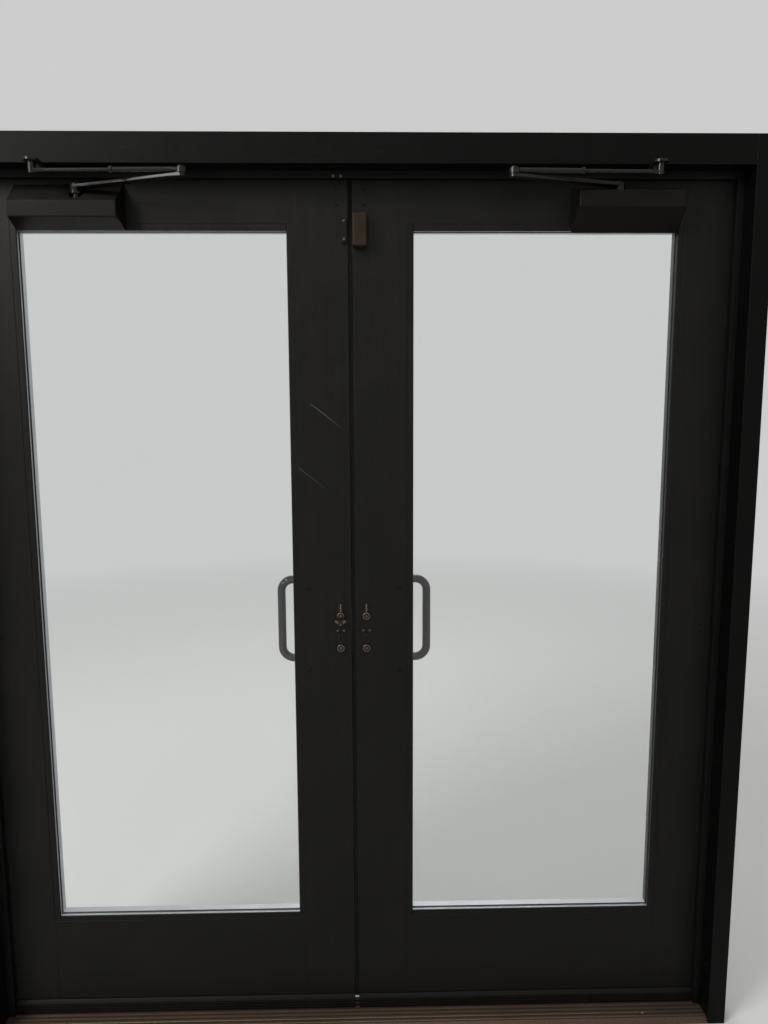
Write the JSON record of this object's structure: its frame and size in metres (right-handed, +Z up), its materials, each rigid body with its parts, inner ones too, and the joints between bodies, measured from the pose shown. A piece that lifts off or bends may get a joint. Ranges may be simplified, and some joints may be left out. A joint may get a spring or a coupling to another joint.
{
  "type": "double entrance door",
  "caption": "Pair of glazed aluminium doors in their frame, with closers, pulls, lock, seals and a fluted threshold.",
  "frame": {"origin": "middle of the opening at the finished floor, half way through the frame's depth", "axes": "+X to the right as seen from inside, +Y outwards, +Z up"},
  "size_m": [1.9178, 0.2309, 2.1996],
  "materials": {
    "dark_anodised": "dark bronze anodised, satin",
    "bronze_anodised": "bronze anodised mill finish, worn",
    "closer_paint": "dark bronze paint",
    "arm_metal": "dark bronze paint, rubbed bare at the edges",
    "clear_glass": "clear, polished",
    "rubber": "black, matt",
    "pile": "grey pile",
    "steel": "dull",
    "blackened_steel": "blackened",
    "brass": "worn",
    "black_plastic": "moulded, satin",
    "brown_plastic": "moulded, low gloss"
  },
  "bodies": {
    "frame": {"head_member": "dark_anodised", "left_jamb": "dark_anodised", "right_jamb": "dark_anodised", "head_stop": "dark_anodised", "left_jamb_stop": "dark_anodised", "right_jamb_stop": "dark_anodised", "stop_seals": "pile", "threshold": "bronze_anodised", "frame_screws": "blackened_steel", "left_arm_shoe": "arm_metal", "right_arm_shoe": "arm_metal", "frame_hinge_plates": "blackened_steel", "hinge_pins": "steel"},
    "left_leaf": {"left_hinge_stile": "dark_anodised", "left_lock_stile": "dark_anodised", "left_top_rail": "dark_anodised", "left_bottom_rail": "dark_anodised", "left_glazing_beads": "dark_anodised", "left_glass_pane": "clear_glass", "left_glazing_gaskets": "rubber", "left_setting_blocks": "rubber", "left_door_hinge_plates": "blackened_steel", "left_meeting_seal": "pile", "left_bottom_sweep": "dark_anodised", "left_closer_cover": "closer_paint", "left_closer_body": "blackened_steel", "left_pull_handle": "blackened_steel", "left_through_bolts": "blackened_steel", "left_lock_plates": "blackened_steel", "left_face_screws": "blackened_steel", "lock_case": "steel", "key_cylinder": "brass", "magnet_bar": "black_plastic"},
    "left_arm": {"left_main_arm": "arm_metal"},
    "left_forearm": {"left_forearm_sleeve": "arm_metal", "left_forearm_rod": "arm_metal"},
    "right_leaf": {"right_hinge_stile": "dark_anodised", "right_lock_stile": "dark_anodised", "right_top_rail": "dark_anodised", "right_bottom_rail": "dark_anodised", "right_glazing_beads": "dark_anodised", "right_glass_pane": "clear_glass", "right_glazing_gaskets": "rubber", "right_setting_blocks": "rubber", "right_door_hinge_plates": "blackened_steel", "right_meeting_seal": "pile", "right_bottom_sweep": "dark_anodised", "right_closer_cover": "closer_paint", "right_closer_body": "blackened_steel", "right_pull_handle": "blackened_steel", "right_through_bolts": "blackened_steel", "right_lock_plates": "blackened_steel", "right_face_screws": "blackened_steel", "strike_plate": "steel", "contact_housing": "brown_plastic"},
    "right_arm": {"right_main_arm": "arm_metal"},
    "right_forearm": {"right_forearm_sleeve": "arm_metal", "right_forearm_rod": "arm_metal"},
    "turn": {"thumb_turn": "blackened_steel"},
    "bolt": {"swing_bolt": "steel"}
  },
  "joints": [
    {"name": "left_leaf_swing", "type": "hinge", "parent": "frame", "child": "left_leaf", "pos_m": [-0.9132, 0.06465, 1.055], "axis": [0, 0, 1], "range_deg": [0, 90], "stiffness_Nm_per_rad": 12, "springref_deg": -2.86},
    {"name": "left_arm_turn", "type": "hinge", "parent": "left_leaf", "child": "left_arm", "pos_m": [-0.616, -0.0203, 2.0975], "axis": [0, 0, -1], "range_deg": [0, 106]},
    {"name": "left_elbow_turn", "type": "hinge", "parent": "left_arm", "child": "left_forearm", "pos_m": [-0.362, -0.0913, 2.108], "axis": [0, 0, 1], "range_deg": [0, 92]},
    {"name": "right_leaf_swing", "type": "hinge", "parent": "frame", "child": "right_leaf", "pos_m": [0.9132, 0.06465, 1.055], "axis": [0, 0, -1], "range_deg": [0, 90], "stiffness_Nm_per_rad": 12, "springref_deg": -2.86},
    {"name": "right_arm_turn", "type": "hinge", "parent": "right_leaf", "child": "right_arm", "pos_m": [0.616, -0.0203, 2.0975], "axis": [0, 0, 1], "range_deg": [0, 106]},
    {"name": "right_elbow_turn", "type": "hinge", "parent": "right_arm", "child": "right_forearm", "pos_m": [0.362, -0.0913, 2.108], "axis": [0, 0, -1], "range_deg": [0, 92]},
    {"name": "thumb_turn_spin", "type": "hinge", "parent": "left_leaf", "child": "turn", "pos_m": [-0.032, 0, 1.0705], "axis": [0, 1, 0], "range_deg": [0, 90]},
    {"name": "bolt_swing", "type": "hinge", "parent": "left_leaf", "child": "bolt", "pos_m": [-0.019, 0.03492, 1.052], "axis": [0, 1, 0], "range_deg": [0, 90]}
  ],
  "couplings": [
    {"joint": "left_arm_turn", "follows": "left_leaf_swing", "ratio": 1.1602},
    {"joint": "left_elbow_turn", "follows": "left_leaf_swing", "ratio": 1.0031},
    {"joint": "right_arm_turn", "follows": "right_leaf_swing", "ratio": 1.1602},
    {"joint": "right_elbow_turn", "follows": "right_leaf_swing", "ratio": 1.0031},
    {"joint": "bolt_swing", "follows": "thumb_turn_spin", "ratio": 1}
  ]
}
